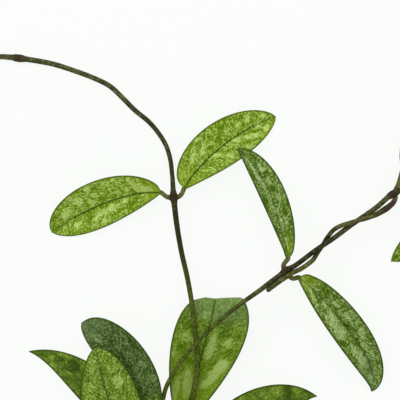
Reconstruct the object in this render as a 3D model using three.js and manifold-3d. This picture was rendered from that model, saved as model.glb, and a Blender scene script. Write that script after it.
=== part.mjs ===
// A cut climbing vine with thick splashed leaves, laid on a flat surface.
// Millimetres, +Z up. The origin is on that surface, under the middle of the plant.
// Places below are measured from the middle of the open space between the two vines,
// with +X to the right and +Y towards the growing ends.

import * as THREE from 'three';
import { mergeVertices } from 'three/addons/utils/BufferGeometryUtils.js';
import Module from 'manifold-3d';

const wasm = await Module();
wasm.setup();

// Place of the origin under the plant
const MIDDLE_X = 20.5;
const MIDDLE_Y = -51;

// Gap between pieces that grow against each other
const SEAT = 0.3;

// Fineness of the meshes
const STEM_SIDES = 8;
const STEM_STEP = 3.8;
const STALK_ROWS = 6;
const LEAF_SIDES = 16;
const LEAF_ROWS = 18;

// Places on the stems where leaves or shoots grow
const FOOT_NODE = [-26, -179.5, 2.6];
const FORK = [-19, -168.5, 3.4];
const LOW_LEFT_NODE = [-10.5, -159.5, 4.6];
const LOW_RIGHT_NODE = [-24, -153, 6.5];
const LEFT_MIDDLE_NODE = [-17, 2, 8];
const LEFT_OUTER_NODE = [-117.5, 92, 2];
const RIGHT_MIDDLE_NODE = [55, -45.5, 17.5];
const RIGHT_OUTER_NODE = [124.5, 4, 9.5];
const RIGHT_LAST_NODE = [155.5, 15, 6.5];

// Swelling of a stem at a node: how much the radius grows, and over what length
const NODE_SWELL = 0.75;
const NODE_REACH = 3.2;

// Stems: the middle line, the radii at even steps along it, and the swollen nodes
const LEFT_VINE = {
  colour: 0x4b4a26,
  route: [
    [-27.5, -195, 2],
    [-27.5, -188, 2.1],
    FOOT_NODE,
    FORK,
    LOW_LEFT_NODE,
    [-6.5, -144.5, 9],
    [-4.5, -126, 13.2],
    [-1.5, -107.5, 16],
    [-2.6, -89.5, 17.5],
    [-5, -68, 17],
    [-8, -50.5, 15],
    [-12, -33, 12.3],
    [-15, -15.5, 10],
    LEFT_MIDDLE_NODE,
    [-17.9, 15.5, 7],
    [-19.3, 26.5, 6],
    [-22.1, 35.5, 5],
    [-27, 43.5, 4.2],
    [-33.5, 51, 3.6],
    [-42, 58, 3],
    [-50, 66, 2.7],
    [-58, 73.5, 2.5],
    [-67.5, 78.5, 2.3],
    [-80, 83.3, 2.1],
    [-96.5, 88.5, 2],
    LEFT_OUTER_NODE,
    [-133, 93, 1.8],
    [-149.5, 91, 1.4],
    [-162.5, 86.5, 0.6],
  ],
  radii: [
    2.5, 2.3, 2.1, 1.85, 1.7, 1.65, 1.57, 1.6, 1.65, 1.7, 1.88,
    1.46, 1.53, 1.6, 1.67, 1.68, 1.67, 1.8, 1.85, 1.5, 0.85,
  ],
  nodes: [FOOT_NODE, FORK, LOW_LEFT_NODE, LEFT_MIDDLE_NODE, LEFT_OUTER_NODE],
};

const RIGHT_VINE = {
  colour: 0x45421f,
  route: [
    FORK,
    LOW_RIGHT_NODE,
    [-24.9, -138.7, 10.5],
    [-22.5, -122.5, 15],
    [-16.5, -110, 18.5],
    [-10, -100.5, 21],
    [-1.7, -90.7, 22.3],
    [6.1, -82.6, 22.8],
    [15.8, -74.4, 22.3],
    [26.4, -66, 21.3],
    [38.3, -57.7, 20],
    [46.5, -51.5, 18.8],
    RIGHT_MIDDLE_NODE,
    [62.5, -41, 16],
    [74, -32.5, 14],
    [86, -24.5, 12.5],
    [97.5, -16, 11.5],
    [112.9, -5.4, 10.5],
    RIGHT_OUTER_NODE,
    [139, 9, 8],
    RIGHT_LAST_NODE,
    [166, 17.5, 5],
    [175.5, 22, 3],
  ],
  radii: [1.8, 1.55, 1.42, 1.24, 1.4, 1.68, 1.62, 1.7, 1.75, 1.5, 0.8],
  nodes: [LOW_RIGHT_NODE, RIGHT_MIDDLE_NODE, RIGHT_OUTER_NODE, RIGHT_LAST_NODE],
};

// A thinner shoot winds back round the right vine, from the outer node to past the middle
// one. Each station is how far along the vine it is from the middle node, how far round
// the vine from its lower side over the top, in degrees, and how far out from its middle
const TWINING_SHOOT = {
  colour: 0x5a5526,
  stations: [
    [-18, 26, 3.3],
    [-10, 30, 3.5],
    [-4, 40, 4.1],
    [3, 42, 4.2],
    [9, 18, 4],
    [14, 0, 4.1],
    [19, -12, 4],
    [24.5, -55, 3.5],
    [30, -90, 3.3],
    [34.5, -130, 3.6],
    [40.5, -180, 4.2],
    [46, -205, 4.1],
    [51.5, -240, 3.7],
    [57, -270, 3.4],
    [62.5, -300, 3.6],
    [68.5, -330, 3.9],
    [75, -355, 4.5],
    [80, -362, 5],
    [84, -366, 4.4],
    [87, -370, 2],
  ],
  radii: [1.5, 1.5, 1.55, 1.55, 1.5, 1.45, 1.5, 1.5, 1.6, 2.1, 1.5],
  nodes: [],
};

// Leaves: where the stalk starts and bends, the midrib from base to tip as a cubic curve,
// and the halves to the left and right of it, each with its width, the shape of its base
// and the shape of its tip: below 0.5 is blunt, over 1 is drawn out. Turns are in degrees:
// roll at base and tip about the midrib, and fold of each half above the flat
const LEAVES = {
  left_vine_leaf_left: {
    stem: LEFT_VINE,
    colour: 0x86a53a,
    node: LEFT_MIDDLE_NODE,
    elbow: [-22.5, 0.3, 7.5],
    midrib: [[-26, 5, 8.5], [-46.5, 6.5, 12], [-76.5, -6, 6.5], [-96.2, -20.8, 0.2]],
    left: [14.8, 0.88, 0.65],
    right: [18.5, 0.74, 0.64],
    roll: [-20, -24],
    fold: 12,
  },
  left_vine_leaf_right: {
    stem: LEFT_VINE,
    colour: 0x8dad3f,
    node: LEFT_MIDDLE_NODE,
    elbow: [-11.5, 1, 8],
    midrib: [[-10, 8, 9], [1.5, 27, 12], [24.5, 45.5, 7.5], [49, 54, 0.2]],
    left: [16.9, 0.55, 0.72],
    right: [14, 0.95, 0.7],
    roll: [8, 8],
    fold: 12,
  },
  right_vine_leaf_upper: {
    stem: RIGHT_VINE,
    colour: 0x668b33,
    node: RIGHT_MIDDLE_NODE,
    elbow: [50.6, -40.8, 19.5],
    midrib: [[56.2, -36.5, 20.5], [51.5, -14, 24], [43.5, 18, 21.5], [24.5, 32.5, 12.5]],
    left: [8.5, 1.25, 0.9],
    right: [10.3, 0.66, 0.68],
    roll: [8, 10],
    fold: 26,
  },
  right_vine_leaf_lower: {
    stem: RIGHT_VINE,
    colour: 0x6d9236,
    node: RIGHT_MIDDLE_NODE,
    elbow: [59.5, -54.2, 14],
    midrib: [[64, -50, 15.5], [80, -63.5, 19], [118.5, -103, 11], [111.5, -124, 0.2]],
    left: [12.05, 0.58, 0.74],
    right: [12.6, 1.08, 1],
    roll: [0, 0],
    fold: 24,
  },
  end_leaf_upper: {
    stem: RIGHT_VINE,
    colour: 0x7f9f3a,
    node: RIGHT_OUTER_NODE,
    elbow: [128.3, 7.5, 11.5],
    midrib: [[131.2, 21.5, 13], [140, 33, 15], [156, 54, 7], [166.5, 71.5, 0.2]],
    left: [14, 0.7, 0.75],
    right: [14, 0.7, 0.75],
    roll: [0, 0],
    fold: 14,
  },
  end_leaf_lower: {
    stem: RIGHT_VINE,
    colour: 0x76983a,
    node: RIGHT_LAST_NODE,
    elbow: [160, 11, 7],
    midrib: [[158.5, 4, 7.5], [162, -20, 11], [143.5, -26, 5.5], [124.5, -39.6, 0.2]],
    left: [13, 0.75, 0.9],
    right: [13.3, 0.75, 0.82],
    roll: [0, 0],
    fold: 14,
  },
  end_leaf_last: {
    stem: RIGHT_VINE,
    colour: 0x8fae45,
    node: RIGHT_LAST_NODE,
    elbow: [158.5, 19.5, 8],
    midrib: [[164, 23.5, 8.5], [176, 31.5, 12], [191, 46, 6], [202.5, 57, 0.2]],
    left: [12, 0.75, 0.8],
    right: [12, 0.75, 0.8],
    roll: [0, 0],
    fold: 16,
  },
  base_leaf_round: {
    stem: LEFT_VINE,
    colour: 0x7c9a42,
    node: LOW_LEFT_NODE,
    elbow: [-15.5, -157.5, 3.2],
    midrib: [[-12.5, -151.5, 3.6], [-6, -124.5, 8], [17, -46, 20], [7.5, -68, 0.5]],
    left: [21.5, 1.38, 1.36],
    right: [25.1, 1.52, 0.98],
    roll: [0, -12],
    fold: 5.5,
  },
  base_leaf_dark: {
    stem: RIGHT_VINE,
    colour: 0x49692c,
    node: LOW_RIGHT_NODE,
    elbow: [-30, -153, 8],
    midrib: [[-33.5, -143.5, 9], [-33.5, -118.5, 15], [-60, -80.5, 19], [-76.4, -79.8, 6]],
    left: [13, 0.8, 0.6],
    right: [16.6, 0.76, 0.98],
    roll: [-16, -16],
    fold: 8,
  },
  base_leaf_bright: {
    stem: LEFT_VINE,
    colour: 0x7d9f33,
    node: FOOT_NODE,
    elbow: [-34, -179, 5],
    midrib: [[-40, -172.5, 7], [-53, -156, 16], [-58.5, -127, 24], [-67.5, -95, 17]],
    left: [19, 0.75, 0.7],
    right: [20, 0.75, 0.55],
    roll: [0, 0],
    fold: -4,
  },
  base_leaf_left: {
    stem: RIGHT_VINE,
    colour: 0x5f8431,
    node: LOW_RIGHT_NODE,
    elbow: [-30.5, -159.5, 5],
    midrib: [[-38, -152, 5], [-58, -133, 8], [-82, -106, 6], [-110.5, -98.5, 0.2]],
    left: [11.4, 0.76, 1.35],
    right: [13.5, 0.8, 1],
    roll: [0, 0],
    fold: 10,
  },
  base_leaf_right: {
    stem: LEFT_VINE,
    colour: 0x5c8030,
    node: LOW_LEFT_NODE,
    elbow: [-4, -162, 4.5],
    midrib: [[2, -153, 6], [22, -143, 13], [54.5, -126, 11], [75.5, -127.5, 0.2]],
    left: [14.9, 1, 1.1],
    right: [14, 0.8, 1.4],
    roll: [0, 0],
    fold: 8,
  },
  base_leaf_last: {
    stem: LEFT_VINE,
    colour: 0x688c34,
    node: FOOT_NODE,
    elbow: [-18.5, -186, 4],
    midrib: [[-9.5, -187, 5], [14, -184, 12], [40, -178, 2.4], [60, -180.5, 0.2]],
    left: [14.5, 0.8, 0.85],
    right: [14.5, 0.8, 0.85],
    roll: [0, 0],
    fold: 12,
  },
};

// Leaf stalks: radius at the blade, how much thicker they are at the stem, and how far
// before the blade they already point along its midrib
const STALK_RADIUS = 1.55;
const STALK_FLARE = 0.35;
const STALK_LEAD = 2.5;

// Leaf blades: half thickness near the base and at the tip, the rib under the middle, and
// the share of the length over which the round base turns into the flat blade
const BLADE_HALF = 0.62;
const TIP_HALF = 0.45;
const RIB = 0.7;
const RIB_SPREAD = 2.4;
const BASE_SHARE = 0.08;

// How the points of a blade are spread: rows closer together at both ends, columns closer
// to the midrib, and a section fuller than an ellipse
const END_SPACING = 0.6;
const MIDRIB_SPACING = 0.5;
const SECTION_POWER = 0.45;

const toVector = (place) => new THREE.Vector3(...place);

// A capped cylinder whose points are moved by a rule. The rule gets how far along the
// piece a point is, from 0 to 1, and its two places across it, on a circle of radius 1
function bend(sides, rows, rule) {
  const geometry = new THREE.CylinderGeometry(1, 1, 1, sides, rows);
  const { position } = geometry.attributes;
  for (let i = 0; i < position.count; i += 1) {
    const along = 0.5 - position.getY(i);
    const moved = rule(along, position.getX(i), position.getZ(i));
    position.setXYZ(i, moved.x, moved.y, moved.z);
  }
  return geometry;
}

// The lower half's squares are split along the other diagonal, so that both faces of a
// thin blade are creased alike
function matchFaces(geometry, sides, rows) {
  const { index } = geometry;
  for (let column = sides / 4; column < (3 * sides) / 4; column += 1) {
    for (let row = 0; row < rows; row += 1) {
      const start = 6 * (column * rows + row);
      const [a, b, d] = [0, 1, 2].map((k) => index.getX(start + k));
      const c = index.getX(start + 4);
      [a, b, c, a, c, d].forEach((vertex, k) => index.setX(start + k, vertex));
    }
  }
  return geometry;
}

function toSolid(geometry) {
  geometry.deleteAttribute('normal');
  geometry.deleteAttribute('uv');
  const merged = mergeVertices(geometry, 1e-4);
  const mesh = new wasm.Mesh({
    numProp: 3,
    vertProperties: merged.attributes.position.array,
    triVerts: Uint32Array.from(merged.index.array),
  });
  return new wasm.Manifold(mesh);
}

function toGeometry(solid) {
  const mesh = solid.getMesh();
  const geometry = new THREE.BufferGeometry();
  geometry.setAttribute('position', new THREE.BufferAttribute(mesh.vertProperties, 3));
  geometry.setIndex(new THREE.BufferAttribute(mesh.triVerts, 1));
  geometry.computeVertexNormals();
  return geometry;
}

// Radius at a share of a stem's length, between the radii given at even steps
function radiusAt(radii, share) {
  const place = share * (radii.length - 1);
  const step = Math.min(Math.floor(place), radii.length - 2);
  return THREE.MathUtils.lerp(radii[step], radii[step + 1], place - step);
}

function swelling(nodes, centre) {
  return nodes.reduce((sum, node) => {
    const distance = centre.distanceTo(toVector(node)) / NODE_REACH;
    return sum + NODE_SWELL * Math.exp(-distance * distance);
  }, 0);
}

function stemSolid({ route, radii, nodes }, clearance = 0) {
  const curve = new THREE.CatmullRomCurve3(route.map(toVector), false, 'catmullrom');
  const rows = Math.round(curve.getLength() / STEM_STEP);
  const { normals, binormals } = curve.computeFrenetFrames(rows, false);
  const geometry = bend(STEM_SIDES, rows, (along, side, up) => {
    const row = Math.round(along * rows);
    const centre = curve.getPointAt(row / rows);
    const radius = radiusAt(radii, along) + swelling(nodes, centre) + clearance;
    return centre
      .addScaledVector(normals[row], side * radius)
      .addScaledVector(binormals[row], up * radius);
  });
  return toSolid(geometry);
}

// The share of a stem's length at which it passes one of its places
function shareAt(curve, route, place) {
  const fine = 20;
  const lengths = curve.getLengths((route.length - 1) * fine);
  return lengths[route.indexOf(place) * fine] / lengths.at(-1);
}

// The middle line of a shoot that winds round a stem, from its stations
function windingRoute(stations, { route }, origin) {
  const curve = new THREE.CatmullRomCurve3(route.map(toVector), false, 'catmullrom');
  const start = shareAt(curve, route, origin);
  return stations.map(([along, turn, out]) => {
    const share = start + along / curve.getLength();
    const ahead = curve.getTangentAt(share);
    const aside = new THREE.Vector3(ahead.y, -ahead.x, 0).normalize();
    const above = aside.clone().cross(ahead);
    const angle = THREE.MathUtils.degToRad(turn);
    return curve.getPointAt(share)
      .addScaledVector(aside, out * Math.cos(angle))
      .addScaledVector(above, out * Math.sin(angle))
      .toArray();
  });
}

// A leaf's stalk, from the middle of its node to just short of the blade
function stalkSolid({ node, elbow, midrib }) {
  const base = toVector(midrib[0]);
  const ahead = toVector(midrib[1]).sub(base).normalize();
  const curve = new THREE.CubicBezierCurve3(
    toVector(node),
    toVector(elbow),
    base.clone().addScaledVector(ahead, -STALK_LEAD),
    base.clone().addScaledVector(ahead, -SEAT),
  );
  const { normals, binormals } = curve.computeFrenetFrames(STALK_ROWS, false);
  const geometry = bend(STEM_SIDES, STALK_ROWS, (along, side, up) => {
    const row = Math.round(along * STALK_ROWS);
    const radius = STALK_RADIUS + STALK_FLARE * (1 - along) ** 2;
    return curve.getPointAt(row / STALK_ROWS)
      .addScaledVector(normals[row], side * radius)
      .addScaledVector(binormals[row], up * radius);
  });
  return toSolid(geometry);
}

// Half width of a leaf at t along its midrib: from the stalk's radius at the base,
// through the half's full width at its widest place, to the tip
function halfWidth([width, base, tip], t) {
  const widest = base / (base + tip);
  const share = (t / widest) ** base * ((1 - t) / (1 - widest)) ** tip;
  return width * share + THREE.MathUtils.lerp(STALK_RADIUS, TIP_HALF, t) * (1 - share);
}

function leafSolid({ midrib, left, right, roll, fold }) {
  const { lerp, smoothstep, degToRad } = THREE.MathUtils;
  const curve = new THREE.CubicBezierCurve3(...midrib.map(toVector));
  const chord = toVector(midrib[3]).sub(toVector(midrib[0]));
  const across = new THREE.Vector3(-chord.y, chord.x, 0).normalize();
  const rule = (along, side, up) => {
    const t = lerp(along, 0.5 - 0.5 * Math.cos(Math.PI * along), END_SPACING);
    const centre = curve.getPoint(t);
    const ahead = curve.getTangent(t);
    const leftward = across.clone().addScaledVector(ahead, -across.dot(ahead)).normalize();
    leftward.applyAxisAngle(ahead, degToRad(lerp(roll[0], roll[1], t)));
    const above = ahead.clone().cross(leftward);
    const flat = smoothstep(t, 0, BASE_SHARE);
    const width = halfWidth(side > 0 ? left : right, t);
    const reach = side * Math.abs(side) ** (MIDRIB_SPACING * flat) * width;
    const half = lerp(BLADE_HALF, TIP_HALF, t) + (STALK_RADIUS - BLADE_HALF) * (1 - flat);
    const rib = up < 0 ? RIB * flat * (1 - t) * Math.exp(-((reach / RIB_SPREAD) ** 2)) : 0;
    const turn = degToRad(fold) * flat;
    const thick = Math.sign(up) * Math.abs(up) ** lerp(1, SECTION_POWER, flat) * half - rib;
    return centre
      .addScaledVector(leftward, reach * Math.cos(turn))
      .addScaledVector(above, Math.abs(reach) * Math.sin(turn) + thick);
  };
  return toSolid(matchFaces(bend(LEAF_SIDES, LEAF_ROWS, rule), LEAF_SIDES, LEAF_ROWS));
}

// The surface that the plant lies on: what dips into it is cut flat
const SURFACE_SIZE = 800;
const SURFACE_DEPTH = 20;
const surface = toSolid(
  new THREE.BoxGeometry(SURFACE_SIZE, SURFACE_SIZE, SURFACE_DEPTH)
    .translate(0, 0, -SURFACE_DEPTH / 2),
);

function addPiece(group, name, solid, colour, roughness) {
  const material = new THREE.MeshStandardMaterial({ color: colour, roughness, metalness: 0 });
  const piece = new THREE.Mesh(toGeometry(solid.subtract(surface)), material);
  piece.name = name;
  piece.position.set(-MIDDLE_X, -MIDDLE_Y, 0);
  group.add(piece);
}

// A stem with the stalks of the leaves that it bears
function leafyStem(stem) {
  return Object.values(LEAVES)
    .filter((leaf) => leaf.stem === stem)
    .reduce((solid, leaf) => solid.add(stalkSolid(leaf)), stemSolid(stem));
}

const plant = new THREE.Group();
const leftVine = leafyStem(LEFT_VINE);
const rightVine = leafyStem(RIGHT_VINE).subtract(stemSolid(LEFT_VINE, SEAT));
addPiece(plant, 'left_vine', leftVine, LEFT_VINE.colour, 0.6);
addPiece(plant, 'right_vine', rightVine, RIGHT_VINE.colour, 0.6);
const shootRoute = windingRoute(TWINING_SHOOT.stations, RIGHT_VINE, RIGHT_MIDDLE_NODE);
const shoot = stemSolid({ ...TWINING_SHOOT, route: shootRoute })
  .subtract(stemSolid(RIGHT_VINE, SEAT));
addPiece(plant, 'twining_shoot', shoot, TWINING_SHOOT.colour, 0.6);
for (const [name, leaf] of Object.entries(LEAVES)) {
  addPiece(plant, name, leafSolid(leaf), leaf.colour, 0.45);
}

export default plant;
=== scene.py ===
"""A cut climbing vine with thick splashed leaves, laid on a pale floor and seen from above.

Places and sizes are millimetres, measured from the middle of the open space between the two
vines: +X to the right, +Y towards the growing ends, +Z up from the floor. A mesh is moved to
the frame's origin and turned into metres once it is shaped. Colours are linear.
"""

import logging
import math
from bisect import bisect
from collections.abc import Callable, Sequence
from dataclasses import dataclass, replace
from enum import Enum

import bmesh
import bpy
from mathutils import Matrix, Quaternion, Vector, geometry, kdtree, noise


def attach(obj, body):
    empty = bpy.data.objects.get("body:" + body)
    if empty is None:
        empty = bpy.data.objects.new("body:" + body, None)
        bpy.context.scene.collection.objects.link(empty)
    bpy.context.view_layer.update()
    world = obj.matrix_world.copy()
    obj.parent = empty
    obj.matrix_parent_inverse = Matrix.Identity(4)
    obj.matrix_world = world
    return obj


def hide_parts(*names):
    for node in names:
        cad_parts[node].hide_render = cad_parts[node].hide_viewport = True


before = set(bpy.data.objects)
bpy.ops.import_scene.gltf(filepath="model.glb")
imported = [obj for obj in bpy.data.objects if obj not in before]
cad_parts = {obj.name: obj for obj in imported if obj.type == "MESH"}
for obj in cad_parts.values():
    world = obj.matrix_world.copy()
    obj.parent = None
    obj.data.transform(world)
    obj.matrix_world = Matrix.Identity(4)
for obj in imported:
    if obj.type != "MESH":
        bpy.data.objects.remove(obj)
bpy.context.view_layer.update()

LOG = logging.getLogger("hoya")

Place = tuple[float, float, float]
Colour = tuple[float, float, float]
Socket = bpy.types.NodeSocket
Marks = dict[str, float | Vector]
Rule = Callable[[float, int], tuple[Vector, Marks]]

METRES = 0.001
MIDDLE = Vector((20.5, -51.0, 0.0))

# Places on the stems where leaves or shoots grow
FOOT_NODE = (-26.0, -179.5, 2.6)
FORK = (-19.0, -168.5, 3.4)
LOW_LEFT_NODE = (-10.5, -159.5, 4.6)
LOW_RIGHT_NODE = (-24.0, -153.0, 6.5)
LEFT_MIDDLE_NODE = (-17.0, 2.0, 8.0)
LEFT_OUTER_NODE = (-117.5, 92.0, 2.0)
RIGHT_MIDDLE_NODE = (55.0, -45.5, 17.5)
RIGHT_OUTER_NODE = (124.5, 4.0, 9.5)
RIGHT_LAST_NODE = (155.5, 15.0, 6.5)


def mix(first: float, second: float, share: float) -> float:
    """Returns the number that lies a share of the way from the first to the second."""
    return first + (second - first) * share


def smooth(value: float, low: float, high: float) -> float:
    """Returns 0 below low, 1 above high and a smooth rise between them."""
    share = min(max((value - low) / (high - low), 0.0), 1.0)
    return share * share * (3 - 2 * share)


def bell(value: float, reach: float) -> float:
    """Returns 1 at a value of 0, falling to about a third at the reach."""
    return math.exp(-((value / reach) ** 2))


def along_list(values: Sequence[float], share: float) -> float:
    """Finds the value at a share of the way along a list.

    Args:
        values: Values at even steps.
        share: How far along them, from 0 to 1.

    Returns:
        The value between its two neighbours in the list.
    """
    place = min(max(share, 0.0), 1.0) * (len(values) - 1)
    step = min(int(place), len(values) - 2)
    return mix(values[step], values[step + 1], place - step)


class Line:
    """A smooth line with a frame that is carried along it without turning about it."""

    STEPS = 16
    HALF_STEP = 0.5

    def __init__(self, spans: Sequence[Sequence[Vector]]) -> None:
        """Walks along the line's spans.

        Args:
            spans: The four corners of each cubic span, in order.
        """
        self.points = [spans[0][0]]
        self.lengths = [0.0]
        for span in spans:
            for point in geometry.interpolate_bezier(*span, self.STEPS + 1)[1:]:
                self.lengths.append(self.lengths[-1] + (point - self.points[-1]).length)
                self.points.append(point)
        self.asides = [(self.points[1] - self.points[0]).orthogonal().normalized()]
        for index in range(1, len(self.points)):
            ahead = self._step(index)
            aside = self.asides[-1] - ahead * self.asides[-1].dot(ahead)
            self.asides.append(aside.normalized())

    @classmethod
    def through(cls, route: Sequence[Place]) -> "Line":
        """Makes the line that passes through the places without a kink.

        Args:
            route: Places from the line's start to its end.

        Returns:
            The line.
        """
        places = [Vector(place) for place in route]
        places = [2 * places[0] - places[1], *places, 2 * places[-1] - places[-2]]
        spans = []
        for before, start, end, after in zip(places, places[1:], places[2:], places[3:]):
            spans.append((start, start + (end - before) / 6, end - (after - start) / 6, end))
        return cls(spans)

    @property
    def length(self) -> float:
        """The line's length."""
        return self.lengths[-1]

    def _step(self, index: int) -> Vector:
        """Returns the direction of the step that ends at a point."""
        return (self.points[index] - self.points[index - 1]).normalized()

    def _index(self, distance: float) -> int:
        """Returns the end of the step that holds a distance along the line."""
        return min(max(bisect(self.lengths, distance), 1), len(self.points) - 1)

    def at(self, distance: float) -> Vector:
        """Finds the place at a distance along the line.

        Args:
            distance: Millimetres from the start; outside the line it runs straight on.

        Returns:
            The place.
        """
        index = self._index(distance)
        start, end = self.lengths[index - 1], self.lengths[index]
        return self.points[index - 1].lerp(self.points[index], (distance - start) / (end - start))

    def frame(self, distance: float) -> tuple[Vector, Vector, Vector]:
        """Finds the line's directions at a distance along it.

        Args:
            distance: Millimetres from the start.

        Returns:
            The directions ahead, aside and up from both.
        """
        index = self._index(distance)
        before, after = self.at(distance - self.HALF_STEP), self.at(distance + self.HALF_STEP)
        ahead = (after - before).normalized()
        aside = self.asides[index]
        aside = (aside - ahead * aside.dot(ahead)).normalized()
        return ahead, aside, ahead.cross(aside)

    def distance_to(self, place: Place) -> float:
        """Returns how far along the line it comes nearest to a place."""
        target = Vector(place)
        index = min(range(len(self.points)), key=lambda i: (self.points[i] - target).length)
        return self.lengths[index]


@dataclass(frozen=True)
class Skin:
    """A closed skin: a grid that is rolled into a tube and closed at both ends."""

    around: int
    rows: int

    DOUBLES = 1e-4

    def make(self, rule: Rule) -> bmesh.types.BMesh:
        """Rolls the grid by a rule and closes its seam and its ends.

        Args:
            rule: Gives the place and the marks of a point from its turn, 0 to 1, and its row.
                Its first and last row each come to one place.

        Returns:
            The closed skin, with a UV map and each mark as an attribute of its points.
        """
        skin = bmesh.new()
        skin.loops.layers.uv.new("turn_and_length")
        kinds = skin.verts.layers
        layers = {
            name: (kinds.float_vector if isinstance(value, Vector) else kinds.float).new(name)
            for name, value in rule(0.0, 0)[1].items()
        }
        bmesh.ops.create_grid(
            skin, x_segments=self.around, y_segments=self.rows, size=0.5, calc_uvs=True
        )
        for point in skin.verts:
            row = round((point.co.y + 0.5) * self.rows)
            point.co, marks = rule(point.co.x + 0.5, row)
            for name, value in marks.items():
                point[layers[name]] = value
        bmesh.ops.remove_doubles(skin, verts=skin.verts[:], dist=self.DOUBLES)
        bmesh.ops.recalc_face_normals(skin, faces=skin.faces[:])
        return skin


def put_in_scene(name: str, data: bpy.types.ID) -> bpy.types.Object:
    """Makes an object of a mesh, a lamp or a camera and links it to the scene."""
    made = bpy.data.objects.new(name, data)
    bpy.context.scene.collection.objects.link(made)
    return made


def to_object(skin: bmesh.types.BMesh, name: str) -> bpy.types.Object:
    """Makes an object of a finished skin, in metres, at its place in the frame.

    Args:
        skin: The skin, in millimetres. It is used up.
        name: The object's name.

    Returns:
        The object, unturned at the origin.
    """
    for point in skin.verts:
        point.co.z = max(point.co.z, 0.0)
    for face in skin.faces:
        face.smooth = True
    bmesh.ops.transform(
        skin, matrix=Matrix.Scale(METRES, 4) @ Matrix.Translation(-MIDDLE), verts=skin.verts[:]
    )
    mesh = bpy.data.meshes.new(name)
    skin.to_mesh(mesh)
    skin.free()
    return put_in_scene(name, mesh)


def stand_for(piece: bpy.types.Object, node: str, slot: str) -> None:
    """Lets a piece stand for a node of the frame.

    Args:
        piece: The dressed piece.
        node: The node that it replaces.
        slot: The finish's name. It is not used.
    """
    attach(piece, "root")
    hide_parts(node)
    LOG.info("%s: %d faces", piece.name, len(piece.data.polygons))


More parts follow.
